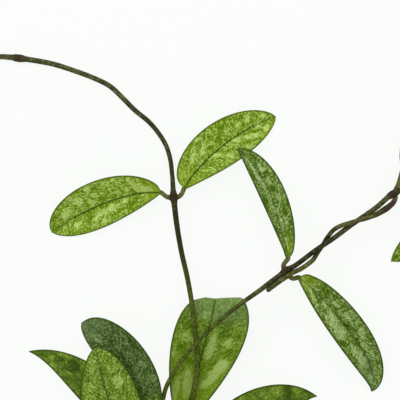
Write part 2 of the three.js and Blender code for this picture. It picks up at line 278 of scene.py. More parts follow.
class Graph:
    """A material's shader, put together value by value."""

    def __init__(self, name: str) -> None:
        """Starts an empty material.

        Args:
            name: The material's name.
        """
        self.material = bpy.data.materials.new(name)
        self.material.use_nodes = True
        self.tree = self.material.node_tree
        self.tree.nodes.clear()

    def _node(self, kind: str, inputs: dict[str | int, object], **settings: object) -> bpy.types.Node:
        """Adds a node.

        Args:
            kind: The node's type.
            inputs: What each input socket gets, a value or another node's output.
            settings: The node's own options.

        Returns:
            The node.
        """
        made = self.tree.nodes.new(kind)
        for name, value in settings.items():
            setattr(made, name, value)
        for name, value in inputs.items():
            if isinstance(value, Socket):
                self.tree.links.new(value, made.inputs[name])
            else:
                made.inputs[name].default_value = value
        return made

    def mark(self, name: str) -> Socket:
        """Returns the number that the mesh's points carry under a name."""
        return self._node("ShaderNodeAttribute", {}, attribute_name=name).outputs["Fac"]

    def places(self, name: str) -> tuple[Socket, Socket, Socket]:
        """Returns the three numbers of a place that the mesh's points carry under a name."""
        found = self._node("ShaderNodeAttribute", {}, attribute_name=name).outputs["Vector"]
        apart = self._node("ShaderNodeSeparateXYZ", {0: found})
        return tuple(apart.outputs)

    def maths(self, operation: str, *values: Socket | float) -> Socket:
        """Returns the result of one operation on up to three numbers."""
        return self._node("ShaderNodeMath", dict(enumerate(values)), operation=operation).outputs[0]

    def place(self, x: Socket | float, y: Socket | float, z: Socket | float) -> Socket:
        """Returns a place made of three numbers."""
        return self._node("ShaderNodeCombineXYZ", {0: x, 1: y, 2: z}).outputs[0]

    def times(self, first: Socket | float, second: Socket | float) -> Socket:
        """Returns the product of two numbers."""
        return self.maths("MULTIPLY", first, second)

    def times_plus(self, value: Socket, factor: Socket | float, more: Socket | float) -> Socket:
        """Returns a number times a factor, plus more."""
        return self.maths("MULTIPLY_ADD", value, factor, more)

    def noise(self, place: Socket, size: float, detail: float, rough: float = 0.5) -> Socket:
        """Adds smooth noise.

        Args:
            place: Where the noise is read, in millimetres.
            size: How large its blots are, in millimetres.
            detail: How many finer noises are added.
            rough: How strong the finer ones are.

        Returns:
            A number from 0 to 1, mostly near a half.
        """
        inputs = {"Vector": place, "Scale": 1 / size, "Detail": detail, "Roughness": rough}
        return self._node("ShaderNodeTexNoise", inputs).outputs[0]

    def mottle(self, place: Socket, size: float, detail: float, rough: float, spread: float) -> Socket:
        """Adds noise that is laid out evenly about 0.

        Args:
            place: Where the noise is read, in millimetres.
            size: How large its blots are, in millimetres.
            detail: How many finer noises are added.
            rough: How strong the finer ones are.
            spread: How far the plain noise strays from a half. It becomes 1.

        Returns:
            A number that is mostly between -2 and 2.
        """
        stray = self.maths("SUBTRACT", self.noise(place, size, detail, rough), 0.5)
        return self.maths("DIVIDE", stray, spread)

    def step(self, value: Socket, low: float, high: float) -> Socket:
        """Returns 0 where the value is below low, 1 above high, and a smooth rise between."""
        inputs = {"Value": value, "From Min": low, "From Max": high}
        settings = {"interpolation_type": "SMOOTHSTEP"}
        return self._node("ShaderNodeMapRange", inputs, **settings).outputs[0]

    def blend(self, share: Socket, first: Colour | Socket, second: Colour) -> Socket:
        """Returns the colour that lies a share of the way from the first to the second."""
        under = first if isinstance(first, Socket) else (*first, 1.0)
        inputs = {0: share, 6: under, 7: (*second, 1.0)}
        return self._node("ShaderNodeMix", inputs, data_type="RGBA").outputs[2]

    def painted(self, colour: Colour, coats: Sequence[tuple[Socket, Colour]]) -> Socket:
        """Lays coats over a colour.

        Args:
            colour: The colour underneath.
            coats: Each coat's share and colour, from the lowest to the top one.

        Returns:
            The colour that shows.
        """
        for share, coat in coats:
            colour = self.blend(share, colour, coat)
        return colour

    def finish(
        self, colour: Socket, roughness: float, gloss: Socket | float, height: Socket, relief: float
    ) -> bpy.types.Material:
        """Adds the surface and ends the material.

        Args:
            colour: The base colour.
            roughness: The roughness.
            gloss: The strength of the reflections.
            height: The fine relief.
            relief: How high a height of 1 stands out, in millimetres.

        Returns:
            The material.
        """
        inputs = {"Height": height, "Distance": relief * METRES, "Strength": 1.0}
        bump = self._node("ShaderNodeBump", inputs).outputs[0]
        inputs = {"Base Color": colour, "Roughness": roughness, "Normal": bump}
        inputs["Specular IOR Level"] = gloss
        surface = self._node("ShaderNodeBsdfPrincipled", inputs).outputs[0]
        self._node("ShaderNodeOutputMaterial", {"Surface": surface})
        return self.material


@dataclass(frozen=True)
class BarkFinish:
    """The smooth bark of a green stem, streaked along it and browner at its nodes."""

    name: str
    deep: Colour
    light: Colour
    fresh: Colour = (0.056, 0.08, 0.003)
    stalk: Colour = (0.1, 0.091, 0.028)
    node: Colour = (0.034, 0.02, 0.012)
    pith: Colour = (0.42, 0.4, 0.2)
    dash: Colour = (0.16, 0.17, 0.055)
    contrast: float = 0.6
    roughness: float = 0.5
    gloss: float = 0.06

    # The size, detail, roughness and spread of the mottles
    STREAKS = (0.6, 3.0, 0.7, 0.075)
    BLOTS = (3.5, 2.0, 0.5, 0.09)
    STREAK_STRETCH = 0.3
    BLOT_SHARE = 0.5
    # Where each colour starts and is full
    LIGHT_RANGE = (-0.4, 1.4)
    FRESH_RANGE = (-0.2, 1.2)
    DASH_RANGE = (0.2, 1.2)
    DASHED_RANGE = (-0.8, 0.9)
    GAP_RANGE = (-0.1, -1.4)
    # Painted shade: the sides, by how far they face up, get the deep colour as if the stem were lit
    # from above, less on the stalks
    SHADED_SIDE_RANGE = (0.75, 0.1)
    SIDE_SHADE_SHARE = 0.75
    STALK_SIDE_SHADE_SHARE = 0.4
    RELIEF = 0.03

    def material(self) -> bpy.types.Material:
        """Returns the bark's material."""
        graph = Graph(self.name)
        across, above, along = graph.places("bark")
        stretched = graph.place(across, above, graph.times(along, self.STREAK_STRETCH))
        streaks = graph.mottle(stretched, *self.STREAKS)
        blots = graph.mottle(graph.place(across, above, along), *self.BLOTS)
        mottle = graph.times_plus(blots, self.BLOT_SHARE, streaks)
        pale, stalk = graph.mark("pale"), graph.mark("stalk")
        dashed = graph.times(graph.step(pale, *self.DASHED_RANGE), self.contrast)
        # How strong the painted shade on the sides is, weaker on the stalks
        share = graph.times_plus(stalk, self.STALK_SIDE_SHADE_SHARE - self.SIDE_SHADE_SHARE, self.SIDE_SHADE_SHARE)
        coats = (
            (graph.step(pale, *self.LIGHT_RANGE), self.light),
            (graph.step(graph.mark("fresh"), *self.FRESH_RANGE), self.fresh),
            (stalk, self.stalk),
            (graph.times(graph.step(mottle, *self.DASH_RANGE), dashed), self.dash),
            (graph.times(graph.step(mottle, *self.GAP_RANGE), self.contrast), self.deep),
            # Painted shade: the deep colour laid on the sides that face away from above
            (graph.times(graph.step(graph.mark("top"), *self.SHADED_SIDE_RANGE), share), self.deep),
            (graph.mark("node"), self.node),
            (graph.mark("cut"), self.pith),
        )
        colour = graph.painted(self.deep, coats)
        return graph.finish(colour, self.roughness, self.gloss, streaks, self.RELIEF)


@dataclass(frozen=True)
class LeafFinish:
    """A thick leaf's skin: mottled from deep green over pale flecks to paler splashes."""

    name: str
    deep: Colour
    green: Colour
    pale: Colour
    splash: Colour
    rib: Colour
    margin: Colour
    fleck: float
    shift: float
    young: Colour = (0.2, 0.28, 0.004)
    young_reach: float = 0.25
    under: Colour = (0.15, 0.24, 0.06)
    # A grey-green veil painted where a blade marks it: a painted sheen, the reflection of pale
    # surroundings on bent tips and tilted halves
    painted_sheen: Colour = (0.18, 0.255, 0.12)
    rib_share: float = 0.85
    patch: float = 0.2
    blot: float = 1.5
    calm: float = 0.65
    fleck_size: float = 1.2
    patch_size: float = 6.0
    roughness: float = 0.42
    gloss: float = 0.06

    # The detail, roughness and spread of the mottles
    FLECKS = (3.0, 0.9, 0.072)
    PATCHES = (2.0, 0.5, 0.085)
    OUTWARD_SCALE = 0.45
    CROSS_SCALE = 0.7
    HALVES_APART = 9.0
    # Where each colour starts and is full
    GREEN_RANGE = (-1.0, -0.4)
    PALE_RANGE = (0.3, 0.65)
    SPLASH_RANGE = (1.1, 1.6)
    CALM_RANGE = (0.3, 1.6)
    EDGE_RANGE = (1.9, 0.2)
    UNDER_RANGE = (0.3, 0.2)
    YOUNG_SHARE = 0.6
    RIB_RANGE = (0.95, 0.3)
    RIB_TIP_RANGE = (1.2, 0.7)
    RIB_BREAKS = 0.1
    # The side veins: how they bend outwards, how far apart they are, and how wide
    VEIN_BEND = 0.9
    VEIN_SLOPE = 1.35
    VEINS_APART = 8.5
    VEIN_WAVE = 1.2
    VEIN_WAVE_SIZE = 12.0
    VEIN_RANGE = (0.06, 0.01)
    VEIN_SHARE = 0.25
    LEVEL_RELIEF = 0.25
    RELIEF = 0.08

    def material(self) -> bpy.types.Material:
        """Returns the skin's material."""
        graph = Graph(self.name)
        across, along, layer = graph.places("blade")
        out = graph.maths("ABSOLUTE", across)
        layer = graph.times_plus(graph.maths("SIGN", across), self.HALVES_APART, layer)
        level = self._level(graph, (out, along, layer))
        veins = self._veins(graph, (out, along, layer))
        share = graph.mark("along")
        young = graph.times(graph.step(share, self.young_reach, 0.0), self.YOUNG_SHARE)
        broken = graph.times_plus(level, self.RIB_BREAKS, out)
        rib = graph.times(graph.step(broken, *self.RIB_RANGE), self.rib_share)
        rib = graph.times(rib, graph.step(share, *self.RIB_TIP_RANGE))
        edge = graph.step(graph.mark("margin"), *self.EDGE_RANGE)
        coats = (
            (graph.step(level, *self.GREEN_RANGE), self.green),
            (graph.step(level, *self.PALE_RANGE), self.pale),
            (graph.step(level, *self.SPLASH_RANGE), self.splash),
            (young, self.young),
            # Painted sheen: the grey-green veil where a blade marks it
            (graph.mark("painted_sheen"), self.painted_sheen),
            (graph.maths("MAXIMUM", rib, graph.times(veins, self.VEIN_SHARE)), self.rib),
            (graph.step(graph.mark("upper"), *self.UNDER_RANGE), self.under),
            (edge, self.margin),
        )
        colour = graph.painted(self.deep, coats)
        height = graph.maths("SUBTRACT", graph.times(level, self.LEVEL_RELIEF), veins)
        gloss = graph.times_plus(edge, -self.gloss, self.gloss)
        return graph.finish(colour, self.roughness, gloss, height, self.RELIEF)

    def _level(self, graph: Graph, blade: Sequence[Socket]) -> Socket:
        """Works out how pale the skin is, with blots that lean outwards and towards the tip.

        Args:
            graph: The material's graph.
            blade: The distance out from the midrib, the distance along it, and a third
                coordinate, which keeps leaves, halves and faces apart.

        Returns:
            A number that is even about 0, up to about 2 where it is palest.
        """
        out, along, layer = blade
        forth = graph.times(graph.maths("ADD", out, along), self.OUTWARD_SCALE)
        aside = graph.times(graph.maths("SUBTRACT", along, out), self.CROSS_SCALE)
        place = graph.place(forth, aside, layer)
        flecks = graph.times(graph.mottle(place, self.fleck_size, *self.FLECKS), self.fleck)
        patches = graph.mottle(place, self.patch_size, *self.PATCHES)
        mottle = graph.times_plus(patches, self.patch, flecks)
        splash = graph.mark("splash")
        within = graph.step(graph.maths("ABSOLUTE", splash), *self.CALM_RANGE)
        kept = graph.times_plus(within, -self.calm, 1.0)
        level = graph.times_plus(mottle, kept, self.shift)
        return graph.times_plus(splash, self.blot, level)

    def _veins(self, graph: Graph, blade: Sequence[Socket]) -> Socket:
        """Works out where the side veins are.

        Args:
            graph: The material's graph.
            blade: The same three coordinates.

        Returns:
            A number that is 1 on the veins and 0 between them.
        """
        out, along, _ = blade
        bent = graph.times(graph.maths("POWER", out, self.VEIN_BEND), self.VEIN_SLOPE)
        wavy = graph.noise(graph.place(*blade), self.VEIN_WAVE_SIZE, 1.0)
        count = graph.maths("DIVIDE", graph.maths("SUBTRACT", along, bent), self.VEINS_APART)
        count = graph.times_plus(wavy, self.VEIN_WAVE, count)
        apart = graph.maths("ABSOLUTE", graph.maths("SUBTRACT", graph.maths("FRACT", count), 0.5))
        return graph.step(apart, *self.VEIN_RANGE)


LIME = LeafFinish(
    name="lime_leaf",
    deep=(0.084, 0.162, 0.001),
    green=(0.178, 0.288, 0.007),
    pale=(0.345, 0.46, 0.09),
    splash=(0.42, 0.545, 0.17),
    rib=(0.025, 0.06, 0.001),
    margin=(0.068, 0.116, 0.004),
    fleck=1.2,
    shift=-0.22,
)
SILVER = replace(
    LIME,
    name="silver_leaf",
    deep=(0.036, 0.08, 0.001),
    green=(0.098, 0.174, 0.01),
    pale=(0.21, 0.3, 0.09),
    splash=(0.34, 0.42, 0.18),
    rib=(0.018, 0.042, 0.002),
    margin=(0.028, 0.062, 0.004),
    rib_share=0.5,
    shift=-0.2,
    blot=1.4,
)
PATCHED = replace(
    SILVER,
    name="patched_leaf",
    deep=(0.046, 0.096, 0.001),
    green=(0.106, 0.19, 0.006),
    pale=(0.21, 0.3, 0.06),
    splash=(0.29, 0.38, 0.11),
    margin=(0.045, 0.085, 0.01),
    young=(0.15, 0.24, 0.002),
    young_reach=0.65,
    fleck=0.85,
    shift=-0.3,
    blot=1.6,
    calm=0.9,
    rib_share=0.75,
)
DARK = replace(
    SILVER,
    name="dark_leaf",
    deep=(0.017, 0.042, 0.001),
    green=(0.046, 0.085, 0.01),
    pale=(0.115, 0.17, 0.055),
    splash=(0.18, 0.245, 0.1),
    rib=(0.02, 0.045, 0.006),
    fleck_size=1.15,
    fleck=1.1,
    patch=0.15,
    blot=1.2,
    shift=-0.1,
)
BRIGHT = replace(
    SILVER,
    name="bright_leaf",
    deep=(0.042, 0.088, 0.001),
    green=(0.105, 0.182, 0.006),
    pale=(0.22, 0.315, 0.06),
    splash=(0.3, 0.4, 0.11),
    fleck=0.95,
    blot=1.2,
    rib_share=0.8,
    shift=-0.1,
)
GREEN = replace(
    SILVER,
    name="green_leaf",
    deep=(0.03, 0.065, 0.003),
    green=(0.078, 0.138, 0.01),
    pale=(0.165, 0.225, 0.02),
    splash=(0.23, 0.3, 0.06),
    rib=(0.03, 0.066, 0.004),
    fleck=0.6,
    patch=0.55,
    blot=2.0,
    shift=0.0,
)
YOUNG = replace(
    LIME,
    name="young_leaf",
    deep=(0.06, 0.12, 0.001),
    green=(0.13, 0.23, 0.004),
    pale=(0.25, 0.36, 0.05),
    shift=-0.3,
)


@dataclass(frozen=True)
class Half:
    """The half of a leaf blade on one side of its midrib."""

    width: float
    base: float
    tip: float

    def at(self, share: float) -> float:
        """Finds the half's width.

        Args:
            share: How far along the midrib, from 0 at the stalk to 1 at the tip.

        Returns:
            The width, from the stalk's radius at the base to almost nothing at the tip.
        """
        widest = self.base / (self.base + self.tip)
        full = (share / widest) ** self.base * ((1 - share) / (1 - widest)) ** self.tip
        return self.width * full + mix(Leaf.BASE_RADIUS, Leaf.TIP_RADIUS, share) * (1 - full)


@dataclass(frozen=True)
class Splash:
    """A blot at its own place on a blade, paler than the skin round it, or deeper below 0."""

    across: float
    along: float
    length: float
    width: float
    lean: float = 0.0
    tone: float = 1.0

    OUTER = 1.35
    INNER = 0.8

    def at(self, across: float, along: float) -> float:
        """Finds how strong the blot is at a place.

        Args:
            across: Millimetres to the left of the midrib.
            along: Millimetres from the leaf's base.

        Returns:
            The blot's tone in its middle, falling to 0 just outside its edge.
        """
        turn = math.radians(self.lean)
        aside, forward = across - self.across, along - self.along
        lengthwise = (forward * math.cos(turn) + aside * math.sin(turn)) / self.length * 2
        sideways = (aside * math.cos(turn) - forward * math.sin(turn)) / self.width * 2
        return self.tone * smooth(math.hypot(lengthwise, sideways), self.OUTER, self.INNER)


def splashed(*rows: Sequence[float]) -> tuple[Splash, ...]:
    """Returns a splash for each row, which holds a splash's numbers in their order."""
    return tuple(Splash(*row) for row in rows)


@dataclass(frozen=True)
class Station:
    """A row of a blade's skin: where it is on the midrib, how far beyond, and its scale."""

    share: float
    along: float
    beyond: float
    scale: float


@dataclass
class Leaf:
    """A thick leaf blade, arched along its midrib and folded a little along it."""

    name: str
    finish: LeafFinish
    midrib: Sequence[Place]
    left: Half
    right: Half
    roll: tuple[float, float] = (0.0, 0.0)
    fold: float = 10.0
    splashes: Sequence[Splash] = ()
    # Blots of painted sheen: a grey-green veil where the blade would reflect its pale surroundings
    painted_sheen: Sequence[Splash] = ()

    AROUND = 80
    ROWS = 92
    BASE_RADIUS = 1.55
    TIP_RADIUS = 0.45
    HALF_THICK = 0.62
    TIP_THICK = 0.45
    BASE_SHARE = 0.08
    RIB = 0.7
    RIB_REACH = 2.4
    GROOVE = 0.2
    GROOVE_REACH = 0.6
    WAVE = 0.45
    WAVE_SIZE = 17.0
    LAYERS_APART = 6.0
    ENDS_CLOSER = 0.6
    RIM_CLOSER = 0.5
    RIM_BLUNT = 0.45
    GROOVE_FADE = 0.5
    SEED_SCALE = 0.37
    COLLAR = ((-0.9, 0.0), (-0.9, 0.82), (-0.45, 1.03))
    CAP = ((0.25, 0.85), (0.5, 0.5), (0.65, 0.0))

    def __post_init__(self) -> None:
        """Measures the midrib and spreads the rows along it."""
        self.corners = [Vector(place) for place in self.midrib]
        self.seed = sum(self.corners[0]) * self.SEED_SCALE
        chord = self.corners[3] - self.corners[0]
        self.across = Vector((-chord.y, chord.x, 0)).normalized()
        even = [row / self.ROWS for row in range(self.ROWS + 1)]
        closer = [0.5 - 0.5 * math.cos(math.pi * share) for share in even]
        shares = [mix(*pair, self.ENDS_CLOSER) for pair in zip(even, closer)]
        self.stations = [Station(0.0, 0.0, *end) for end in self.COLLAR]
        length = 0.0
        last = self.corners[0]
        for share in shares:
            point = self._on_midrib(share)
            length += (point - last).length
            last = point
            self.stations.append(Station(share, length, 0.0, 1.0))
        self.stations += [Station(1.0, length, *end) for end in self.CAP]
        self.frames = [self._frame(station.share) for station in self.stations]

    def _on_midrib(self, share: float) -> Vector:
        """Returns a place on the midrib's cubic curve."""
        a, b, c, d = self.corners
        rest = 1 - share
        early = rest**3 * a + 3 * rest * rest * share * b
        return early + 3 * rest * share * share * c + share**3 * d

    def _ahead(self, share: float) -> Vector:
        """Returns the midrib's direction."""
        a, b, c, d = self.corners
        rest = 1 - share
        inner = 2 * rest * share * (c - b)
        return (rest * rest * (b - a) + inner + share * share * (d - c)).normalized()

    def _frame(self, share: float) -> tuple[Vector, Vector, Vector]:
        """Finds the blade's directions at a share of the midrib.

        Args:
            share: How far along the midrib.

        Returns:
            The directions ahead, to the left and up out of the upper face.
        """
        ahead = self._ahead(share)
        leftward = (self.across - ahead * self.across.dot(ahead)).normalized()
        leftward.rotate(Quaternion(ahead, math.radians(mix(*self.roll, share))))
        return ahead, leftward, ahead.cross(leftward)

    def _rule(self, turn: float, row: int) -> tuple[Vector, Marks]:
        """Places a point of the blade's skin.

        Args:
            turn: How far round the section the point is, from the left edge over the top.
            row: The row, from the collar round the stalk to the tip.

        Returns:
            The point's place and its marks.
        """
        station = self.stations[row]
        share, along = station.share, station.along
        ahead, leftward, above = self.frames[row]
        side = math.cos(math.tau * turn)
        up = math.sin(math.tau * turn)
        flat = smooth(share, 0, self.BASE_SHARE)
        width = (self.left if side > 0 else self.right).at(share)
        reach = math.copysign(abs(side) ** (1 + self.RIM_CLOSER * flat), side) * width
        face = math.copysign(abs(up) ** mix(1, self.RIM_BLUNT, flat), up)
        half = mix(self.HALF_THICK, self.TIP_THICK, share)
        half += (self.BASE_RADIUS - self.HALF_THICK) * (1 - flat)
        thick = face * half
        if up < 0:
            thick -= self.RIB * flat * (1 - share) * bell(reach, self.RIB_REACH)
        else:
            fade = (1 - share) ** self.GROOVE_FADE
            thick -= self.GROOVE * flat * fade * bell(reach, self.GROOVE_REACH)
        wave = noise.noise(Vector((reach, along, self.seed)) / self.WAVE_SIZE) * self.WAVE * flat
        fold = math.radians(self.fold) * flat
        place = self._on_midrib(share) + ahead * station.beyond
        place += leftward * reach * math.cos(fold) * station.scale
        place += above * ((abs(reach) * math.sin(fold) + thick) * station.scale + wave)
        marks = {
            "blade": Vector((reach, along, self.seed + self.LAYERS_APART * face)),
            "along": share,
            "margin": width - abs(reach),
            "upper": 0.5 + 0.5 * face,
            "splash": sum(splash.at(reach, along) for splash in self.splashes),
            # How strong the painted sheen is here
            "painted_sheen": sum(splash.at(reach, along) for splash in self.painted_sheen),
        }
        return place, marks

    def build(self) -> bpy.types.Object:
        """Builds the leaf.

        Returns:
            The leaf, standing for the node of its name.
        """
        skin = Skin(self.AROUND, len(self.stations) - 1).make(self._rule)
        piece = to_object(skin, f"{self.name}_skin")
        stand_for(piece, self.name, self.finish.name)
        return piece


class End(Enum):
    """How the end of a rod is closed: rows from its very end, as distance in radii and width."""

    CUT = ((0.0, 0.0), (0.0, 0.5), (0.0, 0.92), (0.06, 1.0))
    BLUNT = ((0.0, 0.0), (0.05, 0.35), (0.2, 0.64), (0.5, 0.87), (0.9, 1.0))
    HIDDEN = ((0.0, 0.0), (0.0, 1.0))


@dataclass
class Rod:
    """A round rod along a line, with a radius that changes along it."""

    line: Line
    radius: Callable[[float], float]
    start: End
    end: End
    step: float = 0.9

    SIDES = 20

    def skin(self) -> bmesh.types.BMesh:
        """Makes the rod's closed skin.

        Returns:
            The skin, in millimetres.
        """
        length = self.line.length
        first, last = self.radius(0.0), self.radius(length)
        rows = [(first * away, width) for away, width in self.start.value]
        closing = [(length - last * away, width) for away, width in reversed(self.end.value)]
        low, high = rows[-1][0], closing[0][0]
        count = round((high - low) / self.step)
        rows += [(mix(low, high, step / count), 1.0) for step in range(1, count)] + closing
        frames = [self.line.frame(distance) for distance, _ in rows]

        def rule(turn: float, row: int) -> tuple[Vector, Marks]:
            """Places a point of the rod's skin."""
            distance, width = rows[row]
            _, aside, above = frames[row]
            reach = self.radius(distance) * width
            angle = math.tau * turn
            place = self.line.at(distance)
            place += aside * math.cos(angle) * reach + above * math.sin(angle) * reach
            return place, {}

        return Skin(self.SIDES, len(rows) - 1).make(rule)


@dataclass(frozen=True)
class Bud:
    """A small pointed bud, pressed flat."""

    place: Vector
    ahead: Vector
    out: Vector
    length: float
    width: float
    thickness: float

    AROUND = 14
    ROWS = 12
    FULL_EARLY = 0.7
    BLUNT = 0.8

    def skin(self) -> bmesh.types.BMesh:
        """Makes the bud's closed skin.

        Returns:
            The skin, in millimetres.
        """
        aside = self.ahead.cross(self.out).normalized()

        def rule(turn: float, row: int) -> tuple[Vector, Marks]:
            """Places a point of the bud's skin."""
            share = row / self.ROWS
            inside = 0 < row < self.ROWS
            full = math.sin(math.pi * share**self.FULL_EARLY) ** self.BLUNT if inside else 0.0
            angle = math.tau * turn
            place = self.place + self.ahead * share * self.length
            place += aside * math.cos(angle) * full * self.width
            return place + self.out * math.sin(angle) * full * self.thickness, {}

        return Skin(self.AROUND, self.ROWS).make(rule)


@dataclass
class Stalk:
    """A leaf's stalk: from the middle of a node over an elbow to the leaf's base."""

    node: Place
    elbow: Place
    leaf: Leaf

    RADIUS = 1.55
    FLARE = 0.35
    LEAD = 2.5
    SEAT = 0.3
    WAIST = 0.12
    STEP = 0.7

    def __post_init__(self) -> None:
        """Lays the stalk's line."""
        base = Vector(self.leaf.midrib[0])
        ahead = (Vector(self.leaf.midrib[1]) - base).normalized()
        corners = Vector(self.node), Vector(self.elbow), base - ahead * self.LEAD
        self.line = Line([(*corners, base - ahead * self.SEAT)])

    def radius(self, distance: float) -> float:
        """Returns the radius, largest at the node and a little waisted halfway."""
        share = distance / self.line.length
        waist = self.WAIST * math.sin(math.pi * share) ** 2
        return self.RADIUS + self.FLARE * (1 - share) ** 2 - waist

    def skin(self) -> bmesh.types.BMesh:
        """Returns the stalk's closed skin, in millimetres."""
        return Rod(self.line, self.radius, End.HIDDEN, End.HIDDEN, step=self.STEP).skin()


@dataclass
class Stem:
    """A round stem with swollen nodes, buds, and the stalks of its leaves, grown together."""

    name: str
    finish: BarkFinish
    route: Sequence[Place]
    radii: Sequence[float]
    nodes: Sequence[Place]
    start: End
    end: End
    pale: Sequence[float]
    fresh: Sequence[float]
    stalks: Sequence[Stalk] = ()
    scars: Sequence[Place] = ()

    SWELL = 0.75
    REACH = 3.2
    RING = 0.16
    RING_PLACE = 2.4
    RING_REACH = 0.8
    JOIN_REACH = 0.55
    SOFTENINGS = 5
    STALKS_APART = 60.0
    # Length, width and thickness of the buds, and how they sit
    NODE_BUD = (2.2, 0.7, 0.5)
    NODE_BUD_AHEAD = 1.0
    NODE_BUD_RAISE = 0.4
    NODE_BUD_DEPTH = 0.8
    NODE_BUD_LEAN = 0.1
    TIP_BUD = (5.5, 1.2, 0.45)
    TIP_BUD_BACK = 1.2
    TIP_BUD_OUT = 0.15
    TIP_BUD_LEAN = 0.16
    # Where the bark is brown, and where a stalk has its own colour
    NODE_SIZE = 1.8
    SCAR_SIZE = 1.5
    BROWN_REACH = 2.4
    BROWN_START = 1.2
    STALK_RANGE = (0.1, 0.45)
    HALFWAY = 0.5
    CUT_DEPTH = 0.05

    def __post_init__(self) -> None:
        """Lays the stem's line."""
        self.line = Line.through(self.route)
        self.places = [self.line.distance_to(node) for node in self.nodes]

    def build(self) -> bpy.types.Object:
        """Builds the stem with its stalks and buds.

        Returns:
            The stem, standing for the node of its name.
        """
        parts = [Rod(self.line, self.radius, self.start, self.end).skin()]
        parts += [stalk.skin() for stalk in self.stalks]
        parts += [bud.skin() for bud in self._buds()]
        skin = grown_together(parts)
        self._soften(skin)
        self._mark(skin)
        piece = to_object(skin, f"{self.name}_bark")
        stand_for(piece, self.name, self.finish.name)
        return piece

    def radius(self, distance: float) -> float:
        """Finds the stem's radius.

        Args:
            distance: Millimetres along the stem.

        Returns:
            The radius between those given at even steps, with the swelling of each node and
            the ring across it.
        """
        radius = along_list(self.radii, distance / self.line.length)
        for node in self.places:
            radius += self.SWELL * bell(distance - node, self.REACH)
            radius += self.RING * bell(abs(distance - node) - self.RING_PLACE, self.RING_REACH)
        return radius

    def _buds(self) -> list[Bud]:
        """Returns the buds: one on each side of a node, and a folded pair at a growing end."""
        buds = []
        for distance in self.places:
            ahead, aside, above = self.line.frame(distance)
            out = self.radius(distance) * self.NODE_BUD_DEPTH
            for side in (1, -1):
                away = (aside * side + above * self.NODE_BUD_RAISE).normalized()
                place = self.line.at(distance + self.NODE_BUD_AHEAD) + away * out
                forward = (ahead + away * self.NODE_BUD_LEAN).normalized()
                buds.append(Bud(place, forward, away, *self.NODE_BUD))
        if self.end is End.BLUNT:
            end = self.line.length
            ahead, aside, _ = self.line.frame(end)
            for side in (1, -1):
                away = aside * side
                place = self.line.at(end - self.TIP_BUD_BACK) + away * self.TIP_BUD_OUT
                forward = (ahead + away * self.TIP_BUD_LEAN).normalized()
                buds.append(Bud(place, forward, away, *self.TIP_BUD))
        return buds

    def _soften(self, skin: bmesh.types.BMesh) -> None:
        """Rounds the inner corners where the stalks leave the stem.

        Args:
            skin: The grown-together skin, in millimetres.
        """
        corners = []
        for point in skin.verts:
            near_stem = self._near(self.line, point.co, self.radius)
            for stalk in self.stalks:
                near_stalk = self._near(stalk.line, point.co, stalk.radius)
                if max(near_stem, near_stalk) < self.JOIN_REACH:
                    corners.append(point)
                    break
        for _ in range(self.SOFTENINGS):
            bmesh.ops.smooth_vert(
                skin, verts=corners, factor=0.5, use_axis_x=True, use_axis_y=True, use_axis_z=True
            )

    @staticmethod
    def _near(line: Line, place: Vector, radius: Callable[[float], float]) -> float:
        """Returns how far a place is from the skin of a rod."""
        distance = line.distance_to(place)
        return abs((place - line.at(distance)).length - radius(distance))

    def _mark(self, skin: bmesh.types.BMesh) -> None:
        """Gives each point its place on the bark and how pale, fresh, brown or cut it is.

        Args:
            skin: The grown-together skin, in millimetres.
        """
        bark = skin.verts.layers.float_vector.new("bark")
        names = ("pale", "fresh", "stalk", "top", "node", "cut")
        pale, fresh, stalk, top, node, cut = [skin.verts.layers.float.new(name) for name in names]
        lines = [self.line, *(stalk.line for stalk in self.stalks)]
        tree = kdtree.KDTree(sum(len(line.points) for line in lines))
        owners = []
        for number, line in enumerate(lines):
            for index, point in enumerate(line.points):
                tree.insert(point, len(owners))
                owners.append((number, line.lengths[index]))
        tree.balance()
        spots = [(place, self.NODE_SIZE) for place in self.nodes]
        spots += [(place, self.SCAR_SIZE) for place in self.scars]
        skin.normal_update()
        for point in skin.verts:
            number, distance = owners[tree.find(point.co)[1]]
            line = lines[number]
            ahead, aside, above = line.frame(distance)
            offset = point.co - line.at(distance)
            distance += offset.dot(ahead)
            point[bark] = Vector(
                (offset.dot(aside), offset.dot(above), distance + number * self.STALKS_APART)
            )
            share = distance / line.length
            if number:
                point[pale] = along_list(self.pale, self.HALFWAY)
                point[stalk] = smooth(share, *self.STALK_RANGE)
            else:
                point[pale] = along_list(self.pale, share)
                point[fresh] = along_list(self.fresh, share)
            # How far the point faces up, from which the bark paints shade on its sides
            point[top] = point.normal.z
            gaps = [(point.co - Vector(place)).length - size for place, size in spots]
            brown = sum(bell(max(gap, 0), self.BROWN_REACH) for gap in gaps)
            if self.start is End.BLUNT:
                brown += bell(distance, self.BROWN_START)
            point[node] = min(brown, 1.0)
            if self.start is End.CUT and not number and distance < self.CUT_DEPTH:
                point[cut] = 1.0


def grown_together(parts: Sequence[bmesh.types.BMesh]) -> bmesh.types.BMesh:
    """Joins closed skins that overlap into one skin without inner walls.

    Args:
        parts: The skins. They are used up.

    Returns:
        The joined skin.
    """
    made = []
    for number, part in enumerate(parts):
        mesh = bpy.data.meshes.new(f"part_{number}")
        part.to_mesh(mesh)
        part.free()
        made.append(put_in_scene(mesh.name, mesh))
    for other in made[1:]:
        union = made[0].modifiers.new(other.name, "BOOLEAN")
        union.operation = "UNION"
        union.solver = "EXACT"
        union.object = other
    joined = bmesh.new()
    joined.from_object(made[0], bpy.context.evaluated_depsgraph_get())
    for holder in made:
        mesh = holder.data
        bpy.data.objects.remove(holder)
        bpy.data.meshes.remove(mesh)
    bmesh.ops.triangulate(joined, faces=[face for face in joined.faces if len(face.verts) > 4])
    return joined


